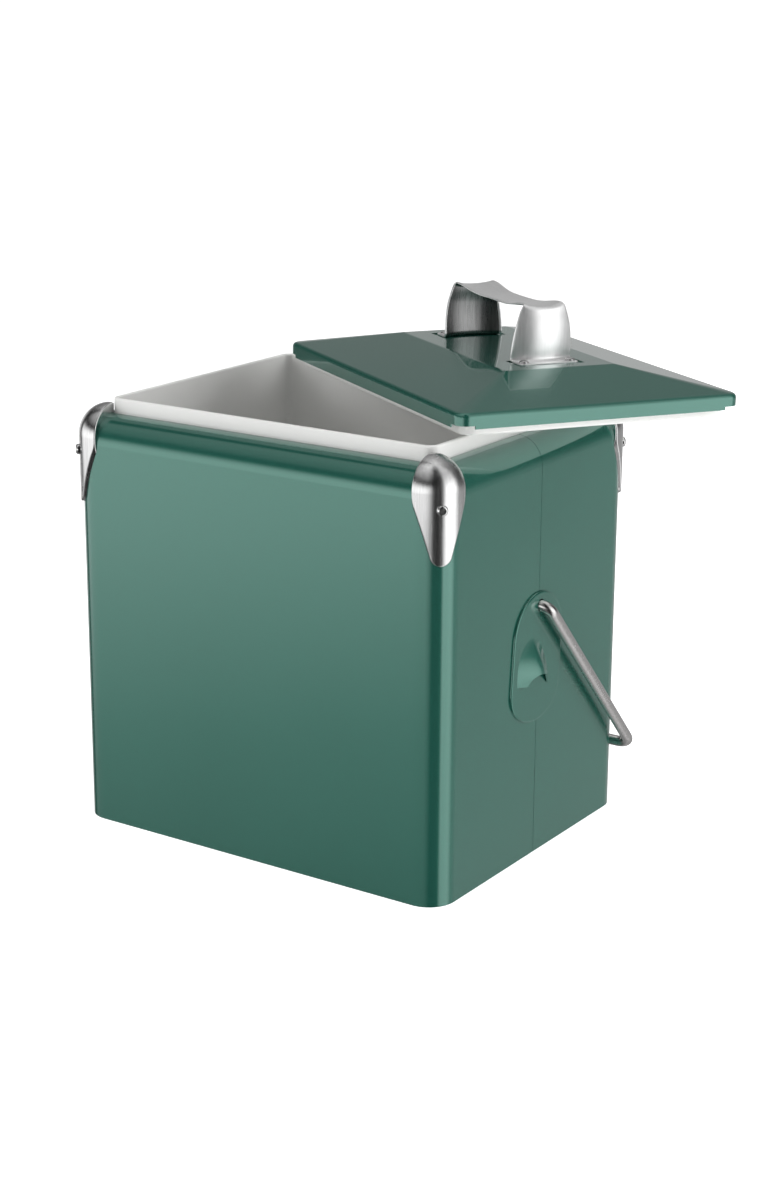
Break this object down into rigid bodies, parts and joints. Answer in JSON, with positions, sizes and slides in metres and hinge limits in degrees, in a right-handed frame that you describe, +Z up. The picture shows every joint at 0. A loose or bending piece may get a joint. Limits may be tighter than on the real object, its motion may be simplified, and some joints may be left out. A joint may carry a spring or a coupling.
{
  "type": "carry cooler chest",
  "caption": "Upright sheet-steel carry cooler with a rounded shoulder, white tub, loose plug lid with a strap handle, corner caps, a side bottle opener and a swinging rod bail.",
  "frame": {"origin": "middle of the chest's flat underside, on the surface it stands on", "axes": "+Z up; -Y out of the wide front face; +X out of the narrow side that has the bottle opener"},
  "size_m": [0.4175, 0.3606, 0.3828],
  "materials": {
    "green_paint": "gloss enamel",
    "white_plastic": "satin",
    "foam": "matt foam",
    "stainless": "brushed",
    "bail_steel": "brushed",
    "rivet_steel": "bright",
    "screw_steel": "bright",
    "nylon": "matt"
  },
  "bodies": {
    "cooler": {"shell_front": "green_paint", "shell_rear": "green_paint", "bottom_pan": "green_paint", "side_plate_right": "green_paint", "side_plate_left": "green_paint", "inner_liner": "white_plastic", "insulation_base": "foam", "insulation_walls": "foam", "pivot_socket_right": "nylon", "pivot_socket_left": "nylon", "side_plate_nuts_right": "rivet_steel", "side_plate_nuts_left": "rivet_steel", "corner_cap_front_right": "stainless", "corner_screw_front_right": "screw_steel", "corner_cap_front_left": "stainless", "corner_screw_front_left": "screw_steel", "corner_cap_rear_right": "stainless", "corner_screw_rear_right": "screw_steel", "corner_cap_rear_left": "stainless", "corner_screw_rear_left": "screw_steel"},
    "lid": {"lid_shell": "green_paint", "lid_liner": "white_plastic", "lid_insulation": "foam", "lid_handle": "stainless", "lid_handle_rivets": "rivet_steel", "lid_rivet_washers": "rivet_steel"},
    "bail": {"bail_handle": "bail_steel", "bail_ring_right": "rivet_steel", "bail_ring_left": "rivet_steel"}
  },
  "joints": [
    {"name": "lid_lift", "type": "slide", "parent": "cooler", "child": "lid", "axis": [0, 0, 1], "range_m": [0, 0.2]},
    {"name": "bail_swing", "type": "hinge", "parent": "cooler", "child": "bail", "pos_m": [0, 0, 0.183], "axis": [1, 0, 0], "range_deg": [0, 86]}
  ]
}
